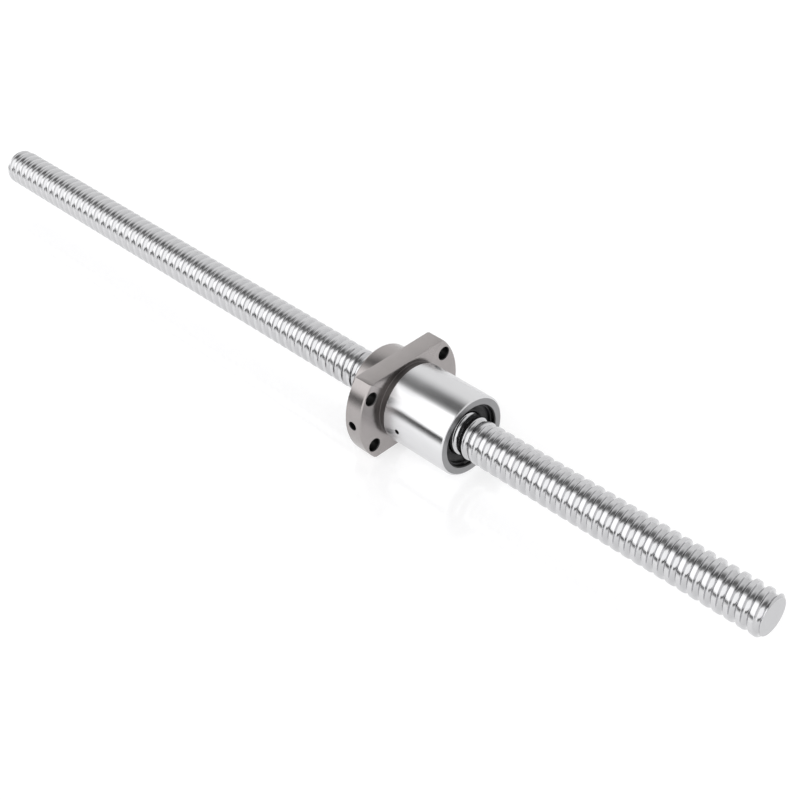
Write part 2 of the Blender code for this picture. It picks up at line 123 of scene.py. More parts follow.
PORT_PLUG_SOCKET = 1.5 * MM

# Mouth at each end of the nut, with its ring and wiper
MOUTH_RADIUS = 10.9 * MM
MOUTH_CHAMFER = 0.3 * MM
MOUTH_DEPTH = 5.2 * MM
RING_SETBACK = 1.3 * MM
RING_WIDTH = 0.8 * MM
RING_INNER_RADIUS = 10.2 * MM
RING_OUTER_RADIUS = 11.4 * MM
RING_OPEN_ANGLE = math.radians(24.0)
RING_STEPS = 110
WIPER_START = 2.35 * MM
WIPER_THICKNESS = 2.6 * MM
WIPER_OUTER_RADIUS = 10.65 * MM
WIPER_EDGE_CHAMFER = 0.2 * MM
WIPER_DISH_RADIUS = 9.2 * MM
WIPER_DISH_DEPTH = 0.9 * MM
WIPER_DISH_EDGE = 0.15 * MM
WIPER_LIP_RADIUS = 7.4 * MM
WIPER_LIP_WIDTH = 0.25 * MM
WIPER_LIP_SHOULDER = 0.1 * MM
WIPER_LIP_RISE = 0.35 * MM
WIPER_BACK_RELIEF = 0.6 * MM
WIPER_STEPS = 120

# Deflectors and the grub screw that locks the front one
DEFLECTOR_HALF_WIDTH = 1.95 * MM
DEFLECTOR_START = 2.0 * MM
DEFLECTOR_NOSE = 2.2 * MM
DEFLECTOR_END_STEPS = 16
SHAFT_RUNNING_GAP = 0.3 * MM
SHAFT_SPACE_STEPS = 96
LOCK_SCREW_RADIUS = 0.8 * MM
LOCK_SCREW_LENGTH = 2.0 * MM
LOCK_SCREW_SOCKET = 0.7 * MM
LOCK_SCREW_X = FLANGE_FRONT + 8.4 * MM
LOCK_SCREW_BAND = 1.3 * MM
LOCK_SCREW_HOLE_STEPS = 24
LOCK_SCREW_ANGLE = math.radians(183.0)
LOCK_SCREW_FROM_PICKUP = math.radians(30.0)
SCREW_STEPS = 32
SCREW_CHAMFER_SHARE = 0.15
SEAT_GAP = 0.25 * MM
THREAD_GAP = 0.1 * MM

# A ball's way from the track to the return bore: the curve's first reach as a share of the whole, how
# far its second point leads, how far it ends behind the nose and how far the channel is cut past it
TURN_FIRST_REACH = 0.64
TURN_SECOND_LEAD = 0.6 * MM
TURN_END_GAP = 0.3 * MM
TURN_OVERRUN = 3.0 * MM
TURN_STEPS = 20

# Studio light: levels, and the places of its dark gap, of its plain ends and of the bend in its dark
# strip, each place as two shares along an axis between which the light changes
SOFTBOX_LEVEL = 1.7
WALL_LEVEL = 0.99
GAP_LEVEL = 0.03
GAP_TOP = (0.10, 0.20)
GAP_FRONT = (-0.45, -0.1)
GAP_RIGHT = (0.3, 0.55)
PLAIN_ENDS = (0.82, 0.92)
STRIP_BEND_X = (-0.57, -0.77)
STRIP_BEND = math.radians(22.0)

# White table, and how far it is lifted to white where it is looked at from above
TABLE_HALF = 12.0
TABLE_COLOUR = (0.50, 0.50, 0.505, 1.0)
TABLE_ROUGHNESS = 0.10
TABLE_IOR = 1.7
TABLE_LIFT = 0.64

# Camera
CAMERA_LENS = 65.07
CAMERA_SENSOR_WIDTH = 36.0
CAMERA_CLIP_START = 10.0 * MM
CAMERA_PLACE = (502.9334 * MM, -251.8975 * MM, 295.0717 * MM)
CAMERA_TURN = (math.radians(51.38034), math.radians(2.47325), math.radians(45.63254))

RETURN_REACH = math.sqrt(RETURN_RADIUS ** 2 - BALL_CIRCLE_RADIUS ** 2)
RETURN_TURN_ANGLE = math.atan2(RETURN_REACH, BALL_CIRCLE_RADIUS)
LOADED_ANGLE = TRACK_TURNS_WHOLE * TURN - 2 * RETURN_TURN_ANGLE
LOCK_SCREW_TIP = ((BALL_CIRCLE_RADIUS + DEFLECTOR_HALF_WIDTH) / math.cos(LOCK_SCREW_FROM_PICKUP)
                  + LOCK_SCREW_RADIUS * math.tan(LOCK_SCREW_FROM_PICKUP) + THREAD_GAP)

# Material slots of the nut, in the order in which its mesh counts them
GROUND, LATHE_TURNED, SHADED_BORE, FACED, SHADED_RELIEF = range(5)


# Materials

def add_node(tree, kind, sockets=None, **settings):
    """Add a node, set its options, and set or link the sockets that are given."""
    node = tree.nodes.new(kind)
    for key, value in settings.items():
        setattr(node, key, value)
    for key, value in (sockets or {}).items():
        if isinstance(value, bpy.types.NodeSocket):
            tree.links.new(value, node.inputs[key])
        else:
            node.inputs[key].default_value = value
    return node


def calculate(tree, operation, *values):
    """One step of arithmetic on numbers or node outputs."""
    return add_node(tree, "ShaderNodeMath", dict(enumerate(values)), operation=operation).outputs[0]


def map_range(tree, value, source, target=(0.0, 1.0), **settings):
    """Map a value from one span to another, held at both ends."""
    node = add_node(tree, "ShaderNodeMapRange", {"Value": value, "From Min": source[0],
                                                 "From Max": source[1], "To Min": target[0],
                                                 "To Max": target[1]}, **settings)
    return node.outputs["Result"]


def blend(tree, share, first, second, kind):
    """Blend two colours (RGBA) or two numbers (FLOAT), each a value or a node output."""
    node = add_node(tree, "ShaderNodeMix", {"Factor": share, "A": first, "B": second}, data_type=kind)
    return node.outputs["Result"]


def tinted(tree, share, dark, light):
    return blend(tree, share, (*dark, 1.0), (*light, 1.0), "RGBA")


def grey_ramp(tree, share, stops):
    """A ramp of greys at the given places."""
    node = add_node(tree, "ShaderNodeValToRGB", {"Fac": share})
    ramp = node.color_ramp
    while len(ramp.elements) < len(stops):
        ramp.elements.new(1.0)
    for element, (place, level) in zip(ramp.elements, stops):
        element.position = place
        element.color = (level, level, level, 1.0)
    return node.outputs["Color"]


def noise(tree, place, size, detail=3.0, roughness=0.5):
    """Grey noise whose blobs are about this size."""
    node = add_node(tree, "ShaderNodeTexNoise", {"Vector": place, "Scale": 1.0 / size,
                                                 "Detail": detail, "Roughness": roughness})
    return node.outputs["Fac"]


def between(tree, grey, low, high):
    """Stretch the middle of a noise over a range of values."""
    return map_range(tree, grey, (0.3, 0.7), (low, high))


def distance_from_axis(tree, place):
    """How far a place on a piece lies from the screw's axis."""
    flat = add_node(tree, "ShaderNodeVectorMath", {0: place, 1: (0.0, 1.0, 1.0)}, operation="MULTIPLY")
    return add_node(tree, "ShaderNodeVectorMath", {0: flat.outputs[0]}, operation="LENGTH").outputs["Value"]


def tool_lines(tree, place, pitch):
    """Uneven fine rings round the screw's axis: along X on a cylinder, along the radius on a face."""
    along = add_node(tree, "ShaderNodeSeparateXYZ", {0: place}).outputs["X"]
    across = calculate(tree, "MULTIPLY_ADD", distance_from_axis(tree, place), FACE_LINES_CLOSER, along)
    lines = add_node(tree, "ShaderNodeTexNoise", {"W": across, "Scale": 1.0 / pitch, "Detail": 2.0},
                     noise_dimensions="1D")
    return lines.outputs["Fac"]


def new_material(name, metallic=1.0):
    """A new Principled material: its tree, its shader and the place on the piece."""
    made = bpy.data.materials.new(name)
    made.use_nodes = True
    tree = made.node_tree
    shader = tree.nodes["Principled BSDF"]
    shader.inputs["Metallic"].default_value = metallic
    return made, tree, shader, add_node(tree, "ShaderNodeTexCoord").outputs["Object"]


def coat(tree, shader, colour, roughness):
    tree.links.new(colour, shader.inputs["Base Color"])
    tree.links.new(roughness, shader.inputs["Roughness"])


def emboss(tree, shader, height, depth):
    """Let a grey pattern raise the surface by up to this depth."""
    bump = add_node(tree, "ShaderNodeBump", {"Height": height, "Distance": depth})
    tree.links.new(bump.outputs["Normal"], shader.inputs["Normal"])


def brush_round_axis(tree, shader, amount):
    """Spread reflections across the tool lines, which run round the X axis."""
    tangent = add_node(tree, "ShaderNodeTangent", direction_type="RADIAL", axis="X")
    tree.links.new(tangent.outputs["Tangent"], shader.inputs["Tangent"])
    shader.inputs["Anisotropic"].default_value = amount
    shader.inputs["Anisotropic Rotation"].default_value = 0.25


def machined_steel(name, dark, light, roughness, line_pitch, line_depth, brushed=0.0):
    """Steel with tool lines round the axis, faint handling patches and uneven gloss."""
    made, tree, shader, place = new_material(name)
    if brushed:
        brush_round_axis(tree, shader, brushed)
    lines = tool_lines(tree, place, line_pitch)
    patches = noise(tree, place, 7 * MM)
    shade = blend(tree, 0.45, patches, lines, "FLOAT")
    coat(tree, shader, tinted(tree, between(tree, shade, 0.0, 1.0), dark, light),
         between(tree, patches, *roughness))
    emboss(tree, shader, lines, line_depth)
    return made


def rolled_thread_steel():
    """Bright rolled thread: mirror-like, with painted shade that darkens the root of the ball track."""
    made, tree, shader, place = new_material("rolled_thread_steel")
    patches = noise(tree, place, 5 * MM)
    # Painted shade: the base colour darkens from the crest into the root of the ball track, blended with
    # random patches
    root_to_crest = map_range(tree, distance_from_axis(tree, place), THREAD_SHADE_RADII)
    root_shade_and_patches = blend(tree, 0.25, root_to_crest, patches, "FLOAT")
    coat(tree, shader, tinted(tree, root_shade_and_patches, (0.50, 0.50, 0.51), (0.62, 0.62, 0.63)),
         between(tree, patches, 0.15, 0.21))
    emboss(tree, shader, tool_lines(tree, place, 0.22 * MM), 0.001 * MM)
    return made


def moulded_plastic(name, dark, light, roughness):
    """Black plastic with a fine grain and slightly paler rubbed patches."""
    made, tree, shader, place = new_material(name, metallic=0.0)
    patches = noise(tree, place, 2.5 * MM)
    coat(tree, shader, tinted(tree, between(tree, patches, 0.0, 1.0), dark, light),
         between(tree, patches, *roughness))
    emboss(tree, shader, noise(tree, place, 0.12 * MM, detail=4.0), 0.008 * MM)
    return made


def blackened_steel(name, dark, light):
    """Oxide-black steel, worn greyer in spots."""
    made, tree, shader, place = new_material(name)
    spots = noise(tree, place, 0.6 * MM, detail=5.0, roughness=0.65)
    coat(tree, shader, tinted(tree, between(tree, spots, 0.0, 1.0), dark, light),
         between(tree, spots, 0.35, 0.5))
    emboss(tree, shader, spots, 0.004 * MM)
    return made


def lapped_ball_steel():
    """Mirror-lapped bearing steel with the faintest haze."""
    made, tree, shader, place = new_material("lapped_ball_steel")
    haze = noise(tree, place, 0.5 * MM)
    coat(tree, shader, tinted(tree, haze, (0.68, 0.68, 0.70), (0.80, 0.80, 0.82)),
         between(tree, haze, 0.03, 0.09))
    return made


def nut_finishes():
    """The nut's materials, in the order of its slots."""
    ground = machined_steel("ground_steel", (0.68, 0.68, 0.69), (0.72, 0.72, 0.73), (0.20, 0.22),
                            line_pitch=0.3 * MM, line_depth=0.0002 * MM, brushed=1.0)
    lathe = machined_steel("lathe_turned_steel", (0.34, 0.32, 0.315), (0.41, 0.385, 0.38), (0.22, 0.28),
                           line_pitch=0.25 * MM, line_depth=0.0015 * MM, brushed=0.5)
    # Painted shade: the bores, mouths, ring grooves and pockets get near-black steel for the shade inside
    # the nut's hollows
    bored_shade = machined_steel("bored_steel_painted_shade", (0.04, 0.04, 0.04), (0.08, 0.08, 0.08), (0.35, 0.5),
                           line_pitch=0.3 * MM, line_depth=0.006 * MM)
    faced = machined_steel("faced_steel", (0.27, 0.27, 0.275), (0.33, 0.33, 0.335), (0.28, 0.36),
                           line_pitch=0.2 * MM, line_depth=0.003 * MM, brushed=0.5)
    # Painted shade: the relief groove gets dark steel for the shadow where the flange meets the body
    relief_shade = machined_steel("relief_groove_painted_shade", (0.10, 0.095, 0.095), (0.15, 0.14, 0.135),
                              (0.35, 0.45), line_pitch=0.3 * MM, line_depth=0.004 * MM)
    return [ground, lathe, bored_shade, faced, relief_shade]


# Mesh tools

def polyline(bm, points, closed=True):
    """Add points as (x, radius) in the XY plane, joined by edges."""
    verts = [bm.verts.new((x, r, 0.0)) for x, r in points]
    edges = [bm.edges.new(pair) for pair in zip(verts, verts[1:])]
    if closed:
        edges.append(bm.edges.new((verts[-1], verts[0])))
    return verts + edges


def everything(bm):
    return bm.verts[:] + bm.edges[:] + bm.faces[:]


def weld(bm):
    bmesh.ops.remove_doubles(bm, verts=bm.verts, dist=WELD_DISTANCE)


def turned(points, steps, closed=True):
    """Spin an (x, radius) outline once round the X axis."""
    bm = bmesh.new()
    bmesh.ops.spin(bm, geom=polyline(bm, points, closed), cent=(0, 0, 0), axis=(1, 0, 0), angle=TURN,
                   steps=steps, use_merge=True)
    weld(bm)
    bmesh.ops.recalc_face_normals(bm, faces=bm.faces)
    return bm


def fill_openings(bm):
    rims = [edge for edge in bm.edges if edge.is_boundary]
    bmesh.ops.holes_fill(bm, edges=rims, sides=0)


def around(radius, angle, x=0.0):
    """The point at this radius and angle about the shaft."""
    return Vector((x, radius * math.cos(angle), radius * math.sin(angle)))


def radial_frame(angle, x, radius):
    """A frame whose +X points outwards at this angle about the shaft."""
    outwards = around(1.0, angle)
    sideways = around(1.0, angle + math.pi / 2)
    turn = Matrix((outwards, sideways, Vector((-1.0, 0.0, 0.0)))).transposed().to_4x4()
    return Matrix.Translation(around(radius, angle, x)) @ turn


def drill(radius, length, chamfer=0.0, over=DRILL_OVERRUN, steps=DRILL_STEPS):
    """A drill's swept body along +X from the origin, flared where it breaks both faces."""
    flare = radius + chamfer + over if chamfer else radius
    outline = [(-over, 0), (-over, flare), (chamfer, radius), (length - chamfer, radius),
               (length + over, flare), (length + over, 0)]
    return turned(outline, steps, closed=False)


def mesh_from(bm, name):
    """Turn a bmesh into a smooth-shaded mesh whose sharp edges stay sharp."""
    mesh = bpy.data.meshes.new(name)
    bm.to_mesh(mesh)
    bm.free()
    mesh.shade_smooth()
    mesh.set_sharp_from_angle(angle=SMOOTH_ANGLE)
    return mesh


def add_piece(name, bm, materials, body, replaced):
    """Make a finished object that rides on a body and stands for a CAD node."""
    piece = bpy.data.objects.new(name, mesh_from(bm, name))
    for finish in materials:
        piece.data.materials.append(finish)
    bpy.context.collection.objects.link(piece)
    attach(piece, body)
    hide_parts(replaced)


def move_to_nut(bm):
    bmesh.ops.translate(bm, verts=bm.verts, vec=(NUT_REAR_X, 0, 0))


def carved(bm, tools, slot=0):
    """Cut each tool body, with its place if it has one, out of a bmesh and return the result."""
    stock = bpy.data.objects.new("stock", mesh_from(bm, "stock"))
    bpy.context.collection.objects.link(stock)
    cutters = []
    for tool, place in tools:
        if place:
            bmesh.ops.transform(tool, matrix=place, verts=tool.verts)
        for face in tool.faces:
            face.material_index = slot
        bmesh.ops.recalc_face_normals(tool, faces=tool.faces)
        cutter = bpy.data.objects.new("cutter", mesh_from(tool, "cutter"))
        bpy.context.collection.objects.link(cutter)
        cutters.append(cutter)
        boolean = stock.modifiers.new("cut", "BOOLEAN")
        boolean.operation = "DIFFERENCE"
        boolean.solver = "EXACT"
        boolean.object = cutter
    shaped = stock.evaluated_get(bpy.context.evaluated_depsgraph_get())
    result = bmesh.new()
    result.from_mesh(shaped.to_mesh())
    shaped.to_mesh_clear()
    for item in [stock] + cutters:
        bpy.data.objects.remove(item, do_unlink=True)
    return result


# Screw shaft

def track_x(angle):
    """Where the centre of the right-hand track crosses an angle about the shaft."""
    return TRACK_START_X + LEAD * angle / TURN


def track_section():
    """One lead of the shaft's outline: the round ball track, its rounded edges and the land."""
    edge_centre = SHAFT_RADIUS - LAND_EDGE_ROUND
    drop = BALL_CIRCLE_RADIUS - edge_centre
    edge_x = math.sqrt((TRACK_ARC_RADIUS + LAND_EDGE_ROUND) ** 2 - drop ** 2)
    half_angle = math.atan2(edge_x, drop)
    track = []
    for step in range(TRACK_ARC_STEPS + 1):
        turn = half_angle * (2 * step / TRACK_ARC_STEPS - 1.0)
        radius = BALL_CIRCLE_RADIUS - TRACK_ARC_RADIUS * math.cos(turn)
        track.append((TRACK_ARC_RADIUS * math.sin(turn), radius))
    edge = []
    for step in range(1, LAND_EDGE_STEPS + 1):
        turn = half_angle * (1.0 - step / LAND_EDGE_STEPS)
        radius = edge_centre + LAND_EDGE_ROUND * math.cos(turn)
        edge.append((edge_x - LAND_EDGE_ROUND * math.sin(turn), radius))
    next_edge = [(LEAD - x, radius) for x, radius in edge[::-1]]
    return track + edge + next_edge + [(LEAD + track[0][0], track[0][1])]


def saw_shaft_end(bm, end_x, side):
    """Saw the thread off square, and cut rings into it for the chamfer to follow."""
    for step in range(SHAFT_END_RINGS + 1):
        inset = step / SHAFT_END_RINGS * SHAFT_END_CHAMFER
        bmesh.ops.bisect_plane(bm, geom=everything(bm), dist=CUT_TOLERANCE,
                               plane_co=(end_x - side * inset, 0, 0), plane_no=(side, 0, 0),
                               clear_outer=step == 0)


def make_shaft(finish):
    """Sweep one lead of thread, repeat it along the shaft, saw both ends and chamfer them."""
    bm = bmesh.new()
    section = polyline(bm, track_section(), closed=False)
    bmesh.ops.spin(bm, geom=section, cent=(0, 0, 0), axis=(1, 0, 0), angle=TURN,
                   steps=SHAFT_STEPS_PER_TURN, dvec=(LEAD / SHAFT_STEPS_PER_TURN, 0, 0))
    one_lead = everything(bm)
    for index in range(1, math.ceil(SHAFT_LENGTH / LEAD) + SHAFT_SPARE_LEADS):
        copy = bmesh.ops.duplicate(bm, geom=one_lead)
        moved = [item for item in copy["geom"] if isinstance(item, bmesh.types.BMVert)]
        bmesh.ops.translate(bm, verts=moved, vec=(index * LEAD, 0, 0))
    first_lead_x = TRACK_START_X - (SHAFT_SPARE_LEADS - 1) * LEAD
    bmesh.ops.translate(bm, verts=bm.verts, vec=(first_lead_x, 0, 0))
    weld(bm)
    saw_shaft_end(bm, 0.0, -1)
    saw_shaft_end(bm, SHAFT_LENGTH, 1)
    for vert in bm.verts:
        from_end = max(min(vert.co.x, SHAFT_LENGTH - vert.co.x), 0.0)
        widest = SHAFT_RADIUS - SHAFT_END_CHAMFER + from_end
        radius = math.hypot(vert.co.y, vert.co.z)
        if radius > widest:
            vert.co.y *= widest / radius
            vert.co.z *= widest / radius
    fill_openings(bm)
    bmesh.ops.recalc_face_normals(bm, faces=bm.faces)
    add_piece("threaded_shaft", bm, [finish], "shaft", "screw_shaft")


# Nut

def mouth_outline(inwards, face_x):
    """The inner outline at one end of the nut, from the end face to the bore."""
    groove = RING_OUTER_RADIUS + SEAT_GAP
    from_x = RING_SETBACK - SEAT_GAP
    to_x = RING_SETBACK + RING_WIDTH + SEAT_GAP
    depths = [(0, MOUTH_RADIUS + MOUTH_CHAMFER), (MOUTH_CHAMFER, MOUTH_RADIUS), (from_x, MOUTH_RADIUS),
              (from_x, groove), (to_x, groove), (to_x, MOUTH_RADIUS), (MOUTH_DEPTH, MOUTH_RADIUS),
              (MOUTH_DEPTH, NUT_BORE_RADIUS)]
    return [(face_x + inwards * depth, radius) for depth, radius in depths]


def collar_edge():
    """The rounded rear edge of the collar, from the rear face forwards."""
    points = []
    for step in range(COLLAR_EDGE_STEPS, -1, -1):
        turn = math.radians(90.0 + 90.0 * step / COLLAR_EDGE_STEPS)
        points.append((COLLAR_EDGE_ROUND + COLLAR_EDGE_ROUND * math.cos(turn),
                       BODY_RADIUS - COLLAR_EDGE_ROUND + COLLAR_EDGE_ROUND * math.sin(turn)))
    return points


def nut_outline():
    """Half section of the nut: collar, flange, relief groove, ground body and the two mouths. The two
    points either side of the grub screw's hole keep the faces round it small."""
    bevel = FLANGE_EDGE_CHAMFER
    relief = BODY_RADIUS - RELIEF_DEPTH
    chamfer_x = NUT_LENGTH - BODY_EDGE_CHAMFER
    chamfer_radius = BODY_RADIUS - BODY_EDGE_CHAMFER
    flange = [(COLLAR_LENGTH, BODY_RADIUS), (COLLAR_LENGTH, FLANGE_RADIUS - bevel),
              (COLLAR_LENGTH + bevel, FLANGE_RADIUS), (FLANGE_FRONT - bevel, FLANGE_RADIUS),
              (FLANGE_FRONT, FLANGE_RADIUS - bevel), (FLANGE_FRONT, relief + EASE),
              (FLANGE_FRONT + EASE, relief), (FLANGE_FRONT + RELIEF_WIDTH, relief)]
    body = [(FLANGE_FRONT + RELIEF_WIDTH + RELIEF_DEPTH, BODY_RADIUS),
            (LOCK_SCREW_X - LOCK_SCREW_BAND, BODY_RADIUS), (LOCK_SCREW_X + LOCK_SCREW_BAND, BODY_RADIUS),
            (chamfer_x - EASE, BODY_RADIUS), (chamfer_x + EASE, BODY_RADIUS - EASE_INSET),
            (NUT_LENGTH - EASE_INSET, chamfer_radius + EASE), (NUT_LENGTH, chamfer_radius - EASE)]
    front = mouth_outline(-1, NUT_LENGTH)
    rear = mouth_outline(1, 0.0)
    return collar_edge() + flange + body + front + rear[::-1]


def mill_flats(bm):
    """Cut the two parallel flats on the flange and break their edges."""
    for side in (-1, 1):
        bmesh.ops.bisect_plane(bm, geom=everything(bm), dist=0.0, plane_co=(0, 0, side * FLAT_HEIGHT),
                               plane_no=(0, 0, side), clear_outer=True)
        fill_openings(bm)
    flats = [face for face in bm.faces if abs(abs(face.calc_center_median().z) - FLAT_HEIGHT) < TOUCHING]
    rims = {edge for face in flats for edge in face.edges}
    bmesh.ops.bevel(bm, geom=list(rims), offset=FLAT_EDGE_CHAMFER, affect="EDGES", segments=2,
                    profile=0.5, material=-1)


def name_surfaces(bm):
    """Give each face of the turned nut its finish: ground outside, turned elsewhere, and painted shade in
    the mouths, ring grooves and relief groove.
    """
    for face in bm.faces:
        middle = face.calc_center_median()
        radius = min(math.hypot(vert.co.y, vert.co.z) for vert in face.verts)
        from_end = min(middle.x, NUT_LENGTH - middle.x)
        past_flange = middle.x - FLANGE_FRONT
        in_mouth = radius < MOUTH_RADIUS + MOUTH_CHAMFER - TOUCHING
        in_groove = radius < RING_OUTER_RADIUS + SEAT_GAP - TOUCHING and from_end > TOUCHING
        if in_mouth or in_groove:
            face.material_index = SHADED_BORE
        elif TOUCHING < past_flange < RELIEF_WIDTH + RELIEF_DEPTH:
            face.material_index = SHADED_RELIEF
        elif from_end < TOUCHING:
            face.material_index = FACED
        elif past_flange > RELIEF_WIDTH:
            face.material_index = GROUND
        else:
            face.material_index = LATHE_TURNED


def pickup_angles():
    """Angles along the track where the balls leave it at the rear and at the front."""
    front = LOCK_SCREW_ANGLE - LOCK_SCREW_FROM_PICKUP
    front += TURN * round((NUT_REAR_X + LOCK_SCREW_X - track_x(front)) / LEAD)
    return front - LOADED_ANGLE, front


def loaded_path(rear, front):
    """Centre line of the loaded track and a little more, in the nut's own frame."""
    span = front - rear + 2 * TRACK_OVERRUN
    steps = math.ceil(span / TURN * TRACK_STEPS_PER_TURN)
    angles = [rear - TRACK_OVERRUN + span * step / steps for step in range(steps + 1)]
    return [around(BALL_CIRCLE_RADIUS, angle, track_x(angle) - NUT_REAR_X) for angle in angles]


def turn_path(angle, sense):
    """Centre line of a ball from the track to the return bore, as a cubic curve."""
    away = around(1.0, angle + sense * math.pi / 2)
    slope = Vector((sense * LEAD / (TURN * BALL_CIRCLE_RADIUS), 0.0, 0.0))
    start = around(BALL_CIRCLE_RADIUS, angle, track_x(angle) - NUT_REAR_X)
    end = start + away * RETURN_REACH
    first = start + (away + slope) * (TURN_FIRST_REACH * RETURN_REACH)
    second = Vector((start.x + sense * TURN_SECOND_LEAD, end.y, end.z))
    end.x = start.x - sense * (DEFLECTOR_NOSE - TURN_END_GAP)
    path = []
    for step in range(TURN_STEPS + 1):
        u = step / TURN_STEPS
        v = 1.0 - u
        path.append(start * v ** 3 + first * (3 * u * v ** 2) + second * (3 * u ** 2 * v) + end * u ** 3)
    return path


def channel_along(points):
    """The space that a ball's channel takes along its centre line, closed at both ends."""
    bm = bmesh.new()
    rings = []
    side = None
    crosswise = Matrix.Rotation(math.pi / 2, 4, "Y")
    for index, point in enumerate(points):
        along = (points[min(index + 1, len(points) - 1)] - points[max(index - 1, 0)]).normalized()
        side = side or along.orthogonal().normalized()
        side = (side - along * side.dot(along)).normalized()
        place = Matrix((along, side, along.cross(side))).transposed().to_4x4()
        place.translation = point
        ring = bmesh.ops.create_circle(bm, segments=CHANNEL_SIDES, radius=CHANNEL_RADIUS,
                                       matrix=place @ crosswise)
        rings.append({edge for vert in ring["verts"] for edge in vert.link_edges})
    for first, second in zip(rings, rings[1:]):
        bmesh.ops.bridge_loops(bm, edges=list(first) + list(second))
    fill_openings(bm)
    bmesh.ops.recalc_face_normals(bm, faces=bm.faces)
    return bm


def deflector_bar(half_width, depth_from, depth_to, angle, sense):
    """A bar of obround section along X that covers the path from the track to the return bore."""
    bm = bmesh.new()
    away = around(1.0, angle + sense * math.pi / 2)
    up = around(1.0, angle)
    rim = []
    for centre, first in ((DEFLECTOR_START, math.pi / 2), (RETURN_REACH, -math.pi / 2)):
        for step in range(DEFLECTOR_END_STEPS + 1):
            turn = first + math.pi * step / DEFLECTOR_END_STEPS
            reach = away * (centre + half_width * math.cos(turn))
            point = up * (BALL_CIRCLE_RADIUS + half_width * math.sin(turn)) + reach
            rim.append(bm.verts.new((depth_from, point.y, point.z)))
    face = bm.faces.new(rim)
    grown = bmesh.ops.extrude_face_region(bm, geom=[face], use_keep_orig=True)
    moved = [item for item in grown["geom"] if isinstance(item, bmesh.types.BMVert)]
    bmesh.ops.translate(bm, verts=moved, vec=(depth_to - depth_from, 0, 0))
    bmesh.ops.recalc_face_normals(bm, faces=bm.faces)
    return bm


def deflector_reach(angle, sense):
    """Where a deflector starts at its nose and ends at the floor of its mouth."""
    nose = track_x(angle) - NUT_REAR_X - sense * DEFLECTOR_NOSE
    floor = NUT_LENGTH - MOUTH_DEPTH if sense > 0 else MOUTH_DEPTH
    return nose, floor


def make_nut(finishes):
    """Turn the nut, mill its flats, drill it, and cut the ball track, pockets and return bore."""
    bm = turned(nut_outline(), NUT_STEPS)
    mill_flats(bm)
    name_surfaces(bm)
    tools = []
    for side in (0.0, math.pi):
        for sign in (-1, 1):
            place = Matrix.Translation(around(HOLE_CIRCLE_RADIUS, side + sign * HOLE_ANGLE, COLLAR_LENGTH))
            tools.append((drill(HOLE_RADIUS, FLANGE_FRONT - COLLAR_LENGTH, HOLE_EDGE_CHAMFER), place))
    port_from = NUT_BORE_RADIUS - DRILL_OVERRUN
    tools.append((drill(PORT_RADIUS, FLANGE_RADIUS - port_from, PORT_EDGE_CHAMFER),
                  radial_frame(PORT_ANGLE, PORT_X, port_from)))
    rear, front = pickup_angles()
    tools.append((channel_along(loaded_path(rear, front)), None))
    for angle, sense in ((front, 1), (rear, -1)):
        nose, floor = deflector_reach(angle, sense)
        pocket = deflector_bar(DEFLECTOR_HALF_WIDTH + SEAT_GAP, nose - sense * SEAT_GAP,
                               floor + sense * SEAT_GAP, angle, sense)
        tools.append((pocket, None))
    bore_from = deflector_reach(rear, -1)[0]
    bore_to = deflector_reach(front, 1)[0]
    place = Matrix.Translation(around(RETURN_RADIUS, front + RETURN_TURN_ANGLE, bore_from))
    tools.append((drill(CHANNEL_RADIUS, bore_to - bore_from, over=0.0, steps=CHANNEL_SIDES), place))
    screw_hole = drill(LOCK_SCREW_RADIUS + THREAD_GAP, BODY_RADIUS - LOCK_SCREW_TIP + DRILL_OVERRUN,
                       steps=LOCK_SCREW_HOLE_STEPS)
    tools.append((screw_hole, radial_frame(LOCK_SCREW_ANGLE, LOCK_SCREW_X, LOCK_SCREW_TIP)))
    bm = carved(bm, tools, SHADED_BORE)
    move_to_nut(bm)
    add_piece("flanged_nut", bm, finishes, "nut", "nut_body")


def make_deflector(name, replaced, angle, sense, finish):
    """The plastic bar that scoops the balls off the track and turns them into the return bore."""
    nose, floor = deflector_reach(angle, sense)
    bar = deflector_bar(DEFLECTOR_HALF_WIDTH, nose, floor - sense * SEAT_GAP, angle, sense)
    path = turn_path(angle, sense)
    lead_in = path[0] - (path[1] - path[0]).normalized() * TURN_OVERRUN
    run_out = path[-1] + (path[-1] - path[-2]).normalized() * TURN_OVERRUN
    channel = channel_along([lead_in] + path + [run_out])
    shaft_space = drill(SHAFT_RADIUS + SHAFT_RUNNING_GAP, abs(floor - nose), steps=SHAFT_SPACE_STEPS)
    start = Matrix.Translation((min(nose, floor), 0, 0))
    bm = carved(bar, [(channel, None), (shaft_space, start)])
    move_to_nut(bm)
    add_piece(name, bm, [finish], "nut", replaced)


def make_wiper(name, replaced, inwards, face_x, finish):
    """A wiper disc: raised rim, dished face, rounded lip round the shaft and relieved back."""
    edge = WIPER_EDGE_CHAMFER
    lip = WIPER_LIP_WIDTH
    depths = [(edge, WIPER_OUTER_RADIUS), (0, WIPER_OUTER_RADIUS - edge),
              (0, WIPER_DISH_RADIUS + WIPER_DISH_EDGE), (EASE, WIPER_DISH_RADIUS),
              (WIPER_DISH_DEPTH - lip, WIPER_LIP_RADIUS + 2 * lip),
              (WIPER_DISH_DEPTH - WIPER_LIP_RISE, WIPER_LIP_RADIUS + lip),
              (WIPER_DISH_DEPTH - lip, WIPER_LIP_RADIUS + WIPER_LIP_SHOULDER),
              (WIPER_DISH_DEPTH, WIPER_LIP_RADIUS), (WIPER_THICKNESS - WIPER_BACK_RELIEF, WIPER_LIP_RADIUS),
              (WIPER_THICKNESS, WIPER_LIP_RADIUS + WIPER_BACK_RELIEF),
              (WIPER_THICKNESS, WIPER_OUTER_RADIUS - edge), (WIPER_THICKNESS - edge, WIPER_OUTER_RADIUS)]
    outline = [(face_x + inwards * (WIPER_START + depth), radius) for depth, radius in depths]
    add_piece(name, turned(outline, WIPER_STEPS), [finish], "nut", replaced)


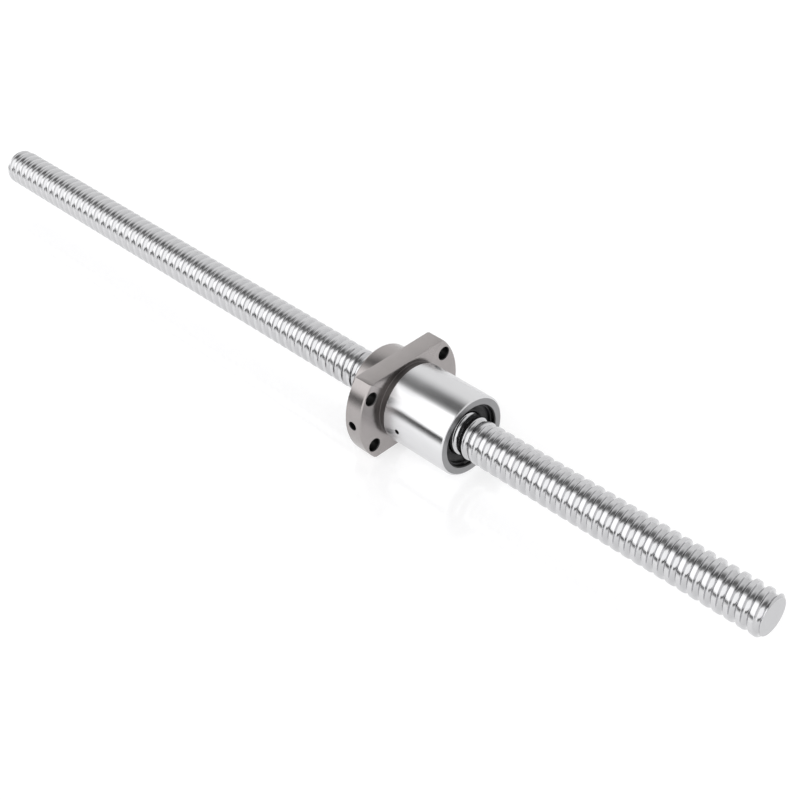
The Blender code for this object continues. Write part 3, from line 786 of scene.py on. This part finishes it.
def make_snap_ring(name, replaced, inwards, face_x, finish):
    """An open spring ring of flat wire with eased edges, set in the groove of the mouth."""
    bm = bmesh.new()
    near, far = sorted((face_x + inwards * RING_SETBACK, face_x + inwards * (RING_SETBACK + RING_WIDTH)))
    low = RING_INNER_RADIUS
    high = RING_OUTER_RADIUS
    outline = [(near + EASE, low), (near, low + EASE), (near, high - EASE), (near + EASE, high),
               (far - EASE, high), (far, high - EASE), (far, low + EASE), (far - EASE, low)]
    bmesh.ops.spin(bm, geom=polyline(bm, outline), cent=(0, 0, 0), axis=(1, 0, 0),
                   angle=TURN - RING_OPEN_ANGLE, steps=RING_STEPS)
    weld(bm)
    fill_openings(bm)
    turn = Matrix.Rotation(RING_OPEN_ANGLE / 2 - math.pi / 2, 4, "X")
    bmesh.ops.transform(bm, matrix=turn, verts=bm.verts)
    bmesh.ops.recalc_face_normals(bm, faces=bm.faces)
    add_piece(name, bm, [finish], "ring_carrier", replaced)


def make_grub_screw(name, replaced, radius, length, socket, place, finish):
    """A headless screw with chamfered ends and a hexagon socket in its outer end."""
    chamfer = SCREW_CHAMFER_SHARE * radius
    outline = [(-length, 0), (-length, radius - chamfer), (-length + chamfer, radius), (-chamfer, radius),
               (0, radius - chamfer), (0, 0)]
    key = bmesh.new()
    across_corners = socket / math.sqrt(3)
    bmesh.ops.create_cone(key, cap_ends=True, segments=6, radius1=across_corners, radius2=across_corners,
                          depth=length)
    seat = Matrix.Rotation(math.pi / 2, 4, "Y")
    bm = carved(turned(outline, SCREW_STEPS, closed=False), [(key, seat)])
    bmesh.ops.transform(bm, matrix=Matrix.Translation((NUT_REAR_X, 0, 0)) @ place, verts=bm.verts)
    add_piece(name, bm, [finish], "nut", replaced)


def make_ball(index, finish):
    """One lapped ball, centred where the CAD's ball is."""
    node = f"ball_{index:02d}"
    low, high = (Vector(corner_point) for corner_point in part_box(node))
    bm = bmesh.new()
    bmesh.ops.create_icosphere(bm, subdivisions=BALL_SUBDIVISIONS, radius=BALL_RADIUS,
                               matrix=Matrix.Translation((low + high) / 2))
    add_piece(f"bearing_{node}", bm, [finish], "nut", node)


def make_object():
    """All pieces, each with its own finish."""
    make_shaft(rolled_thread_steel())
    make_nut(nut_finishes())
    wiper = moulded_plastic("wiper_plastic", (0.012, 0.012, 0.013), (0.03, 0.03, 0.032), (0.35, 0.55))
    ring = blackened_steel("spring_ring_steel", (0.035, 0.035, 0.037), (0.08, 0.08, 0.083))
    for end, inwards, face_x in (("front", -1, NUT_REAR_X + NUT_LENGTH), ("rear", 1, NUT_REAR_X)):
        make_wiper(f"{end}_wiper_seal", f"{end}_wiper", inwards, face_x, wiper)
        make_snap_ring(f"{end}_snap_ring", f"{end}_retaining_ring", inwards, face_x, ring)
    plastic = moulded_plastic("deflector_plastic", (0.02, 0.02, 0.022), (0.04, 0.04, 0.042), (0.4, 0.55))
    rear, front = pickup_angles()
    make_deflector("front_ball_deflector", "front_deflector", front, 1, plastic)
    make_deflector("rear_ball_deflector", "rear_deflector", rear, -1, plastic)
    oxide = blackened_steel("black_oxide_steel", (0.03, 0.03, 0.033), (0.09, 0.09, 0.095))
    plug_place = radial_frame(PORT_ANGLE, PORT_X, FLANGE_RADIUS - PORT_PLUG_RECESS)
    make_grub_screw("lubrication_port_plug", "port_plug", PORT_RADIUS - THREAD_GAP, PORT_PLUG_LENGTH,
                    PORT_PLUG_SOCKET, plug_place, oxide)
    screw_place = radial_frame(LOCK_SCREW_ANGLE, LOCK_SCREW_X, LOCK_SCREW_TIP + LOCK_SCREW_LENGTH)
    make_grub_screw("deflector_grub_screw", "deflector_lock_screw", LOCK_SCREW_RADIUS, LOCK_SCREW_LENGTH,
                    LOCK_SCREW_SOCKET, screw_place, oxide)
    lapped = lapped_ball_steel()
    for index in range(1, BALL_COUNT + 1):
        make_ball(index, lapped)


# Studio

def add_floor():
    """A plain white table under the nut's lower flat, glossier at a low angle."""
    bm = bmesh.new()
    middle = Matrix.Translation((SHAFT_LENGTH / 2, 0.0, -FLAT_HEIGHT))
    bmesh.ops.create_grid(bm, x_segments=2, y_segments=2, size=TABLE_HALF, matrix=middle)
    floor = bpy.data.objects.new("studio_floor", mesh_from(bm, "studio_floor"))
    bpy.context.collection.objects.link(floor)
    made = bpy.data.materials.new("white_table")
    made.use_nodes = True
    tree = made.node_tree
    shader = tree.nodes["Principled BSDF"]
    shader.inputs["Base Color"].default_value = TABLE_COLOUR
    shader.inputs["Roughness"].default_value = TABLE_ROUGHNESS
    shader.inputs["IOR"].default_value = TABLE_IOR
    rays = add_node(tree, "ShaderNodeLightPath").outputs
    seen = calculate(tree, "MAXIMUM", rays["Is Camera Ray"], rays["Is Glossy Ray"])
    seen = calculate(tree, "MAXIMUM", seen, rays["Is Transmission Ray"])
    grazing = add_node(tree, "ShaderNodeFresnel", {"IOR": TABLE_IOR}).outputs[0]
    lift = map_range(tree, grazing, (0.0, 1.0), (TABLE_LIFT, 0.0))
    shader.inputs["Emission Color"].default_value = (1.0, 1.0, 1.0, 1.0)
    tree.links.new(calculate(tree, "MULTIPLY", seen, lift), shader.inputs["Emission Strength"])
    floor.data.materials.append(made)


def add_studio_light():
    """Soft light all round: pale walls, a softbox up in front, a dark strip overhead that bends away
    at the left, a dark gap between the front wall and the table, and plain ends."""
    world = bpy.data.worlds.new("studio")
    world.use_nodes = True
    tree = world.node_tree
    place = add_node(tree, "ShaderNodeTexCoord").outputs["Generated"]
    arrow = add_node(tree, "ShaderNodeSeparateXYZ", {0: place}).outputs
    angle = calculate(tree, "ARCTAN2", arrow["Z"], arrow["Y"])
    bend = map_range(tree, arrow["X"], STRIP_BEND_X, (0.0, STRIP_BEND))
    share = map_range(tree, calculate(tree, "SUBTRACT", angle, bend), (-math.pi, math.pi))
    levels = [(-180, WALL_LEVEL), (0, WALL_LEVEL), (50, 0.96), (58, 0.82), (67, 0.58), (75, 0.28),
              (82, 0.16), (94, 0.16), (101, 0.34), (107, 0.8), (113, SOFTBOX_LEVEL), (180, SOFTBOX_LEVEL)]
    stops = [((degrees + 180.0) / 360.0, level / SOFTBOX_LEVEL) for degrees, level in levels]
    walls = grey_ramp(tree, share, stops)
    above_gap = map_range(tree, arrow["Z"], GAP_TOP, (GAP_LEVEL, 1.0), interpolation_type="SMOOTHSTEP")
    behind_gap = map_range(tree, arrow["Y"], GAP_FRONT)
    right_of_gap = map_range(tree, arrow["X"], GAP_RIGHT)
    near_end = map_range(tree, calculate(tree, "ABSOLUTE", arrow["X"]), PLAIN_ENDS)
    beside_gap = calculate(tree, "MAXIMUM", calculate(tree, "MAXIMUM", behind_gap, right_of_gap), near_end)
    open_air = calculate(tree, "MAXIMUM", above_gap, beside_gap)
    plain = WALL_LEVEL / SOFTBOX_LEVEL
    colour = blend(tree, near_end, walls, (plain, plain, plain, 1.0), "RGBA")
    background = tree.nodes["Background"]
    tree.links.new(colour, background.inputs["Color"])
    tree.links.new(calculate(tree, "MULTIPLY", open_air, SOFTBOX_LEVEL), background.inputs["Strength"])
    bpy.context.scene.world = world


def add_camera():
    """The photograph's viewing angle: from the nut's front left, looking down."""
    data = bpy.data.cameras.new("studio_camera")
    data.sensor_width = CAMERA_SENSOR_WIDTH
    data.lens = CAMERA_LENS
    data.clip_start = CAMERA_CLIP_START
    item = bpy.data.objects.new("studio_camera", data)
    item.matrix_world = Matrix.Translation(CAMERA_PLACE) @ Euler(CAMERA_TURN).to_matrix().to_4x4()
    bpy.context.collection.objects.link(item)
    bpy.context.scene.camera = item


add_camera()
add_floor()
add_studio_light()
make_object()
bpy.context.scene.view_settings.view_transform = "Standard"
